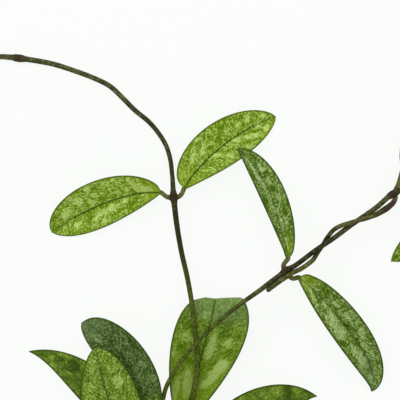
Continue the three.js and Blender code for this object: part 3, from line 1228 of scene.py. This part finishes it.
@dataclass(frozen=True)
class Studio:
    """A pale floor, soft light and the camera straight above.

    The camera's sizes are millimetres. The floor's and the lamp's are metres.
    """

    camera_height: float = 1200.0
    view_width: float = 260.0
    sensor_width: float = 36.0
    floor_size: float = 6.0
    floor_drop: float = 0.0002
    floor_colour: Colour = (0.05, 0.05, 0.05)
    floor_roughness: float = 0.9
    floor_glow: Colour = (0.985, 1.0, 0.985)
    floor_glow_strength: float = 0.9
    sky_colour: Colour = (0.98, 1.0, 0.99)
    sky_strength: float = 0.86
    lamp_place: Place = (-0.35, 0.9, 1.3)
    lamp_size: float = 1.4
    lamp_power: float = 15.0

    def build(self) -> None:
        """Adds the camera, the floor and the lights."""
        self._camera()
        self._floor()
        self._lights()

    def _camera(self) -> None:
        """Adds the camera, which looks straight down on the middle of the open space."""
        lens = bpy.data.cameras.new("camera")
        lens.sensor_width = self.sensor_width
        lens.lens = self.sensor_width * self.camera_height / self.view_width
        camera = put_in_scene("camera", lens)
        camera.location = (Vector((0, 0, self.camera_height)) - MIDDLE) * METRES
        bpy.context.scene.camera = camera

    def _floor(self) -> None:
        """Adds the floor, just under what rests on it."""
        sheet = bmesh.new()
        bmesh.ops.create_grid(sheet, x_segments=1, y_segments=1, size=self.floor_size / 2)
        mesh = bpy.data.meshes.new("floor")
        sheet.to_mesh(mesh)
        sheet.free()
        floor = put_in_scene("floor", mesh)
        floor.location.z = -self.floor_drop
        paint = bpy.data.materials.new("floor")
        paint.use_nodes = True
        surface = paint.node_tree.nodes["Principled BSDF"]
        surface.inputs["Base Color"].default_value = (*self.floor_colour, 1)
        surface.inputs["Roughness"].default_value = self.floor_roughness
        surface.inputs["Emission Color"].default_value = (*self.floor_glow, 1)
        surface.inputs["Emission Strength"].default_value = self.floor_glow_strength
        mesh.materials.append(paint)

    def _lights(self) -> None:
        """Adds an even pale sky and a wide soft lamp beyond the growing ends."""
        scene = bpy.context.scene
        scene.view_settings.view_transform = "Standard"
        sky = bpy.data.worlds.new("sky")
        sky.use_nodes = True
        light = sky.node_tree.nodes["Background"].inputs
        light["Color"].default_value = (*self.sky_colour, 1)
        light["Strength"].default_value = self.sky_strength
        scene.world = sky
        lamp = bpy.data.lights.new("lamp", "AREA")
        lamp.size = self.lamp_size
        lamp.energy = self.lamp_power
        holder = put_in_scene("lamp", lamp)
        holder.location = self.lamp_place
        holder.rotation_euler = (-holder.location).to_track_quat("-Z", "Y").to_euler()


OLIVE_BARK = BarkFinish(
    "olive_stem",
    deep=(0.014, 0.015, 0.004),
    light=(0.06, 0.06, 0.024),
    stalk=(0.15, 0.145, 0.036),
)
BROWN_BARK = BarkFinish("brown_stem", deep=(0.01, 0.01, 0.004), light=(0.058, 0.054, 0.02))
YOUNG_BARK = BarkFinish(
    "young_stem",
    deep=(0.014, 0.0125, 0.004),
    light=(0.084, 0.076, 0.017),
    node=(0.042, 0.027, 0.015),
)

LEFT_ROUTE = (
    (-27.5, -195, 2), (-27.5, -188, 2.1), FOOT_NODE, FORK, LOW_LEFT_NODE, (-6.5, -144.5, 9),
    (-4.5, -126, 13.2), (-1.5, -107.5, 16), (-2.6, -89.5, 17.5), (-5, -68, 17), (-8, -50.5, 15),
    (-12, -33, 12.3), (-15, -15.5, 10), LEFT_MIDDLE_NODE, (-17.9, 15.5, 7), (-19.3, 26.5, 6),
    (-22.1, 35.5, 5), (-27, 43.5, 4.2), (-33.5, 51, 3.6), (-42, 58, 3), (-50, 66, 2.7),
    (-58, 73.5, 2.5), (-67.5, 78.5, 2.3), (-80, 83.3, 2.1), (-96.5, 88.5, 2), LEFT_OUTER_NODE,
    (-133, 93, 1.8), (-149.5, 91, 1.4), (-162.5, 86.5, 0.6),
)
LEFT_RADII = (
    2.5, 2.3, 2.1, 1.85, 1.7, 1.65, 1.57, 1.6, 1.65, 1.7, 1.88,
    1.46, 1.53, 1.6, 1.67, 1.68, 1.67, 1.8, 1.85, 1.5, 0.85,
)
LEFT_PALE = (
    0.5, 0.4, 0.4, 0.4, 0.4, 0.8, 0.2, 0.0, -0.2, -0.5, -0.1,
    0.1, 0.3, 0.2, 0.85, 0.85, 0.95, 1.0, 1.0, 0.8, 0.7,
)
LEFT_FRESH = (
    0.3, 0.3, 0.6, 0.8, 1.0, 1.0, 1.0, 0.9, 0.4, 0.1, 0.0,
    0.2, 0.1, 0.0, 0.0, 0.1, 0.1, 0.1, 0.1, 0.2, 0.4,
)
RIGHT_ROUTE = (
    FORK, LOW_RIGHT_NODE, (-24.9, -138.7, 10.5), (-22.5, -122.5, 15), (-16.5, -110, 18.5),
    (-10, -100.5, 21), (-1.7, -90.7, 22.3), (6.1, -82.6, 22.8), (15.8, -74.4, 22.3), (26.4, -66, 21.3),
    (38.3, -57.7, 20), (46.5, -51.5, 18.8), RIGHT_MIDDLE_NODE, (62.5, -41, 16), (74, -32.5, 14),
    (86, -24.5, 12.5), (97.5, -16, 11.5), (112.9, -5.4, 10.5), RIGHT_OUTER_NODE, (139, 9, 8),
    RIGHT_LAST_NODE, (166, 17.5, 5), (175.5, 22, 3),
)
RIGHT_RADII = (1.8, 1.55, 1.42, 1.24, 1.4, 1.68, 1.62, 1.7, 1.75, 1.5, 0.8)
RIGHT_PALE = (
    0.4, 0.4, 0.4, 0.2, 0.4, 0.9, 0.2, 0.3, 0.4, 0.3, 0.6,
    0.2, -0.2, 0.1, 0.5, 0.7, 0.8, 0.8, 0.8, 0.8, 0.8,
)
RIGHT_FRESH = (
    0.3, 0.4, 0.6, 0.9, 1.0, 0.9, 0.8, 0.8, 0.6, 0.3, 0.0,
    0.0, 0.0, 0.0, 0.1, 0.1, 0.1, 0.2, 0.2, 0.3, 0.4,
)
SHOOT_RADII = (1.5, 1.5, 1.55, 1.55, 1.5, 1.45, 1.5, 1.5, 1.6, 2.1, 1.5)
SHOOT_PALE = (
    0.6, 0.7, 0.9, 1.1, 1.0, 0.8, 0.9, 0.4, 0.0, 0.1, 0.15,
    0.4, 0.7, 1.1, 1.2, 0.8, 0.6, 0.4, 0.4, 0.9, 0.6,
)
SHOOT_FRESH = (
    0.2, 0.2, 0.3, 0.35, 0.3, 0.3, 0.3, 0.1, 0.0, 0.0, 0.0,
    0.0, 0.1, 0.1, 0.0, 0.0, 0.0, 0.0, 0.0, 0.0, 0.0,
)

# Which of the shoot's places bear leaf scars
SCARRED = slice(16, 18)

# How far along the right vine from its middle node, how far round it from its lower side
# over the top in degrees, and how far out from its middle
SHOOT_STATIONS = (
    (-18, 26, 3.3), (-10, 30, 3.5), (-4, 40, 4.1), (3, 42, 4.2), (9, 18, 4), (14, 0, 4.1), (19, -12, 4),
    (24.5, -55, 3.5), (30, -90, 3.3), (34.5, -130, 3.6), (40.5, -180, 4.2), (46, -205, 4.1),
    (51.5, -240, 3.7), (57, -270, 3.4), (62.5, -300, 3.6), (68.5, -330, 3.9), (75, -355, 4.5),
    (80, -362, 5), (84, -366, 4.4), (87, -370, 2),
)


def winding_route(stations: Sequence[Place], stem: Line, origin: Place) -> list[Place]:
    """Finds the middle line of a shoot that winds round a stem.

    Args:
        stations: Distance along the stem from the origin, degrees round it, distance out.
        stem: The stem's middle line.
        origin: The place on the stem from which the stations are measured.

    Returns:
        The shoot's places.
    """
    start = stem.distance_to(origin)
    route = []
    for along, turn, out in stations:
        ahead, _, _ = stem.frame(start + along)
        aside = Vector((ahead.y, -ahead.x, 0)).normalized()
        above = aside.cross(ahead)
        angle = math.radians(turn)
        place = stem.at(start + along) + aside * out * math.cos(angle)
        route.append(tuple(place + above * out * math.sin(angle)))
    return route


LEAVES = (
    Leaf(
        name="left_vine_leaf_left",
        finish=LIME,
        midrib=((-26, 5, 8.5), (-46.5, 6.5, 12), (-76.5, -6, 6.5), (-96.2, -20.8, 0.2)),
        left=Half(14.8, 0.88, 0.65),
        right=Half(18.5, 0.74, 0.64),
        roll=(-20, -24),
        fold=12,
        splashes=splashed(
            (-6, 60.9, 8.6, 5.5, 31), (-9.4, 50.6, 6.2, 5.3, 4), (-15.1, 41.9, 6.7, 3.5, 67),
            (-8.7, 40.5, 3.1, 3.8, -28), (-4.9, 43.9, 8.1, 2.7, -82), (5.4, 59.4, 6.3, 3.3, 19),
            (7.3, 46.4, 4.2, 2.6, 23), (5.3, 40.9, 7.5, 3.3, 12), (11.2, 41.5, 3.6, 2.6, 6),
            (-4.1, 12.6, 9.8, 5, -40), (-2.6, 6.9, 4.5, 3.6, -28), (-10.8, 17.8, 7.3, 1.5, -78),
            (-15.3, 26.8, 2.8, 2.9, 3), (4.5, 32.5, 6.9, 4.6, 16), (3.5, 24.4, 5.4, 2.6, 14),
            (9.4, 25.5, 4.3, 2, 4), (-6.1, 53.9, 3.1, 3.8, -34, -0.6), (-7.8, 66.8, 5.7, 3.5, 29, -0.5),
            (-3.9, 37.1, 3.8, 3.9, -26, -0.6), (7.9, 27.2, 5, 2.7, 8, -0.7),
            (5.3, 18.2, 6.2, 2.6, 17, -0.7), (1.8, 37.9, 5.3, 1.9, -6, -0.8),
        ),
    ),
    Leaf(
        name="left_vine_leaf_right",
        finish=LIME,
        midrib=((-10, 8, 9), (1.5, 27, 12), (24.5, 45.5, 7.5), (49, 54, 0.2)),
        left=Half(16.9, 0.55, 0.72),
        right=Half(14, 0.95, 0.7),
        roll=(8, 8),
        fold=12,
        splashes=splashed(
            (7.3, 16.5, 11.5, 2.7, 27), (7, 25.2, 8.1, 3.3, 40), (14.9, 26.2, 3.9, 2.7, 3),
            (-2.1, 30, 9.2, 3.2, -26), (-7.3, 36.4, 4.7, 2.7, -37), (5.6, 6.2, 4.8, 3.4, 7),
            (-5.3, 57, 10.2, 3.3, -18), (-2.3, 46.6, 7.3, 2.6, -23), (0, 63.5, 4.7, 2, 19),
            (6.1, 52.2, 3.7, 3.4, 21), (-4.7, 68.3, 5.6, 3.3, 34), (7.1, 58.8, 5.7, 2.7, 51),
            (4.1, 68.7, 4.8, 2.6, -23), (-10.1, 51.8, 6.3, 3.3, -20), (5, 29, 3.9, 3.3, 52, -0.6),
            (-1.2, 19.6, 5.2, 3.8, -1, -0.5), (10.9, 33.7, 3.5, 3.4, 24, -0.5),
            (-6.9, 52.8, 4.1, 2.7, -20, -0.7), (-3.4, 60.5, 7.4, 2, -12, -0.8),
            (9.7, 55, 5.5, 2.7, 0, -0.5), (4.9, 37.8, 9, 1.5, 57, -1.3),
            (10.4, 43.1, 6.6, 1.5, 31, -1.1),
        ),
    ),
    Leaf(
        name="right_vine_leaf_upper",
        finish=SILVER,
        midrib=((56.2, -36.5, 20.5), (51.5, -14, 24), (43.5, 18, 21.5), (24.5, 32.5, 12.5)),
        left=Half(8.5, 1.25, 0.9),
        right=Half(10.3, 0.66, 0.68),
        roll=(8, 10),
        fold=26,
        # A faint streak of painted sheen along the left half
        painted_sheen=splashed((5, 38, 80, 9, 0, 0.07)),
        splashes=splashed(
            (1.8, 64.5, 12.3, 2.5, -6), (2, 52, 11.7, 2.9, 6), (1.5, 40.7, 10.3, 2.8, -7),
            (0.6, 31.6, 8.4, 2.7, 22), (-0.8, 21.6, 11.4, 1.9, -2), (-0.7, 9.9, 11.4, 1.6, 3),
            (-2.6, 60.1, 6.3, 2, -1), (-3, 48.3, 5.6, 2, 7, 0.8), (-4.2, 37.6, 4.9, 2.7, 4),
            (-4.1, 21.4, 5, 2.6, -1, 0.8), (-4.4, 54.6, 3.1, 2.6, 3, -0.9),
            (-3.1, 44.1, 4.4, 3.3, 6, -0.9), (-5.4, 27.5, 4.9, 2.6, -3, -0.9),
            (-3.2, 67.1, 3.8, 2.6, -1, -0.8), (5.2, 58, 10, 2.4, -8, -0.8), (6, 37, 11, 2.8, 0, -0.8),
            (4.2, 17, 10, 2.2, 8, -0.8),
        ),
    ),
    Leaf(
        name="right_vine_leaf_lower",
        finish=SILVER,
        midrib=((64, -50, 15.5), (80, -63.5, 19), (118.5, -103, 11), (111.5, -124, 0.2)),
        left=Half(12.05, 0.58, 0.74),
        right=Half(12.6, 1.08, 1),
        fold=24,
        # Painted sheen towards the tip
        painted_sheen=splashed((-3, 80, 28, 10, 0, 0.2)),
        splashes=splashed(
            (-0.6, 6.7, 10.9, 2.8, -16), (-4.1, 15.3, 9.6, 2.8, -27), (-5.4, 33.2, 9.8, 7, -1),
            (-5.9, 44, 10.8, 7.7, 2), (-4.4, 64.2, 17, 5.1, 4), (-1.6, 83.6, 7.9, 4, 14, 0.9),
            (-1.7, 26.1, 11.6, 2.8, -9, 0.9), (-9.8, 49.3, 4.2, 3.5, 4, -0.9),
            (6.3, 16.2, 5.5, 4.2, 6, -0.7), (0.9, 42.8, 4, 4.2, 57, -0.8), (4.2, 28.2, 6.3, 2.8, 9),
            (4.7, 38.2, 6.2, 3.6, 23), (5.7, 52.1, 7.4, 4, -21), (2.5, 60.6, 4.7, 3.4, -11, 0.9),
            (3.9, 67.6, 5.3, 2.7, -6, 0.8),
        ),
    ),
    Leaf(
        name="end_leaf_upper",
        finish=YOUNG,
        midrib=((131.2, 21.5, 13), (140, 33, 15), (156, 54, 7), (166.5, 71.5, 0.2)),
        left=Half(14, 0.7, 0.75),
        right=Half(14, 0.7, 0.75),
        fold=14,
    ),
    Leaf(
        name="end_leaf_lower",
        finish=YOUNG,
        midrib=((158.5, 4, 7.5), (162, -20, 11), (143.5, -26, 5.5), (124.5, -39.6, 0.2)),
        left=Half(13, 0.75, 0.9),
        right=Half(13.3, 0.75, 0.82),
        fold=14,
    ),
    Leaf(
        name="end_leaf_last",
        finish=YOUNG,
        midrib=((164, 23.5, 8.5), (176, 31.5, 12), (191, 46, 6), (202.5, 57, 0.2)),
        left=Half(12, 0.75, 0.8),
        right=Half(12, 0.75, 0.8),
        fold=16,
    ),
    Leaf(
        name="base_leaf_round",
        finish=PATCHED,
        midrib=((-12.5, -151.5, 3.6), (-6, -124.5, 8), (17, -46, 20), (7.5, -68, 0.5)),
        left=Half(21.5, 1.38, 1.36),
        right=Half(25.1, 1.52, 0.98),
        roll=(0, -12),
        fold=5.5,
        # Painted sheen over the tip, which bends down
        painted_sheen=splashed((0, 90, 24, 50, 0, 0.3)),
        splashes=splashed(
            (-10.6, 43, 22.5, 5.8, -26, 1.2), (-14.5, 50.9, 9.1, 7, -30, 1.2),
            (-4.3, 61.2, 19.3, 4.9, -5, 1.1), (-14.3, 65.7, 5.8, 5.1, -46),
            (4.1, 80.2, 3.9, 3.2, -76, 0.8), (11.8, 62.5, 9, 3.9, 70, 0.8),
            (17.5, 49.8, 5.2, 3.9, -15, 0.7), (4.2, 33.9, 19.7, 5.8, 10, 1.1),
            (10.5, 28.8, 14.5, 3.9, 5), (7, 48, 5.2, 4.5, -75, -0.7), (14.9, 55.3, 5.2, 3.9, -30, -0.6),
            (-5.7, 40.8, 3.9, 3.3, -73, -0.6), (-17.2, 61, 5.8, 3.8, -30, -0.6),
            (13.7, 69.7, 5.2, 3.3, -75, -0.5),
        ),
    ),
    Leaf(
        name="base_leaf_dark",
        finish=DARK,
        midrib=((-33.5, -143.5, 9), (-33.5, -118.5, 15), (-60, -80.5, 19), (-76.4, -79.8, 6)),
        left=Half(13, 0.8, 0.6),
        right=Half(16.6, 0.76, 0.98),
        roll=(-16, -16),
        fold=8,
        # Painted sheen over the tip, which bends down
        painted_sheen=splashed((0, 80, 24, 40, 0, 0.2)),
        splashes=splashed(
            (4.4, 66, 6.4, 2.6, 11), (-2.3, 53.5, 4.4, 3, 12), (-10, 37.6, 5.2, 3.6, 11),
            (-12.1, 27.6, 5.1, 3.6, 5), (-12.1, 50.2, 8.9, 4.2, 10, -0.6),
        ),
    ),
    Leaf(
        name="base_leaf_bright",
        finish=BRIGHT,
        midrib=((-40, -172.5, 7), (-53, -156, 16), (-58.5, -127, 24), (-67.5, -95, 17)),
        left=Half(19, 0.75, 0.7),
        right=Half(20, 0.75, 0.55),
        fold=-4,
        splashes=splashed(
            (-9, 60, 7.7, 5.7, 5), (5, 77.6, 9, 6.5, 6, 0.5), (-1.4, 68.6, 6.4, 3.2, 16, -0.6),
        ),
    ),
    Leaf(
        name="base_leaf_left",
        finish=GREEN,
        midrib=((-38, -152, 5), (-58, -133, 8), (-82, -106, 6), (-110.5, -98.5, 0.2)),
        left=Half(11.4, 0.76, 1.35),
        right=Half(13.5, 0.8, 1),
        fold=10,
        splashes=splashed(
            (-5.2, 62, 8.7, 5.3, -27, -0.8), (-6.8, 71, 4.9, 2.7, 11, 0.7),
            (3.4, 73, 6.8, 2.6, -14, 0.7),
        ),
    ),
    Leaf(
        name="base_leaf_right",
        finish=GREEN,
        midrib=((2, -153, 6), (22, -143, 13), (54.5, -126, 11), (75.5, -127.5, 0.2)),
        left=Half(14.9, 1, 1.1),
        right=Half(14, 0.8, 1.4),
        fold=8,
    ),
    Leaf(
        name="base_leaf_last",
        finish=GREEN,
        midrib=((-9.5, -187, 5), (14, -184, 12), (40, -178, 2.4), (60, -180.5, 0.2)),
        left=Half(14.5, 0.8, 0.85),
        right=Half(14.5, 0.8, 0.85),
        fold=12,
    ),
)


def main() -> None:
    """Builds the plant and its studio."""
    logging.basicConfig(level=logging.INFO)
    Studio().build()
    materials = {}
    for leaf in LEAVES:
        piece = leaf.build()
        if leaf.finish.name not in materials:
            materials[leaf.finish.name] = leaf.finish.material()
        piece.data.materials.append(materials[leaf.finish.name])
    leaves = {leaf.name: leaf for leaf in LEAVES}
    right_line = Line.through(RIGHT_ROUTE)
    shoot_route = winding_route(SHOOT_STATIONS, right_line, RIGHT_MIDDLE_NODE)
    stems = (
        Stem(
            name="left_vine",
            finish=OLIVE_BARK,
            route=LEFT_ROUTE,
            radii=LEFT_RADII,
            nodes=(FOOT_NODE, FORK, LOW_LEFT_NODE, LEFT_MIDDLE_NODE, LEFT_OUTER_NODE),
            start=End.CUT,
            end=End.BLUNT,
            pale=LEFT_PALE,
            fresh=LEFT_FRESH,
            stalks=(
                Stalk(LEFT_MIDDLE_NODE, (-22.5, 0.3, 7.5), leaves["left_vine_leaf_left"]),
                Stalk(LEFT_MIDDLE_NODE, (-11.5, 1, 8), leaves["left_vine_leaf_right"]),
                Stalk(LOW_LEFT_NODE, (-15.5, -157.5, 3.2), leaves["base_leaf_round"]),
                Stalk(LOW_LEFT_NODE, (-4, -162, 4.5), leaves["base_leaf_right"]),
                Stalk(FOOT_NODE, (-34, -179, 5), leaves["base_leaf_bright"]),
                Stalk(FOOT_NODE, (-18.5, -186, 4), leaves["base_leaf_last"]),
            ),
        ),
        Stem(
            name="right_vine",
            finish=BROWN_BARK,
            route=RIGHT_ROUTE,
            radii=RIGHT_RADII,
            nodes=(LOW_RIGHT_NODE, RIGHT_MIDDLE_NODE, RIGHT_OUTER_NODE, RIGHT_LAST_NODE),
            start=End.HIDDEN,
            end=End.BLUNT,
            pale=RIGHT_PALE,
            fresh=RIGHT_FRESH,
            stalks=(
                Stalk(RIGHT_MIDDLE_NODE, (50.6, -40.8, 19.5), leaves["right_vine_leaf_upper"]),
                Stalk(RIGHT_MIDDLE_NODE, (59.5, -54.2, 14), leaves["right_vine_leaf_lower"]),
                Stalk(RIGHT_OUTER_NODE, (128.3, 7.5, 11.5), leaves["end_leaf_upper"]),
                Stalk(RIGHT_LAST_NODE, (160, 11, 7), leaves["end_leaf_lower"]),
                Stalk(RIGHT_LAST_NODE, (158.5, 19.5, 8), leaves["end_leaf_last"]),
                Stalk(LOW_RIGHT_NODE, (-30, -153, 8), leaves["base_leaf_dark"]),
                Stalk(LOW_RIGHT_NODE, (-30.5, -159.5, 5), leaves["base_leaf_left"]),
            ),
        ),
        Stem(
            name="twining_shoot",
            finish=YOUNG_BARK,
            route=shoot_route,
            radii=SHOOT_RADII,
            nodes=(),
            start=End.BLUNT,
            end=End.HIDDEN,
            pale=SHOOT_PALE,
            fresh=SHOOT_FRESH,
            scars=shoot_route[SCARRED],
        ),
    )
    for stem in stems:
        stem.build().data.materials.append(stem.finish.material())


if __name__ == "__main__":
    main()
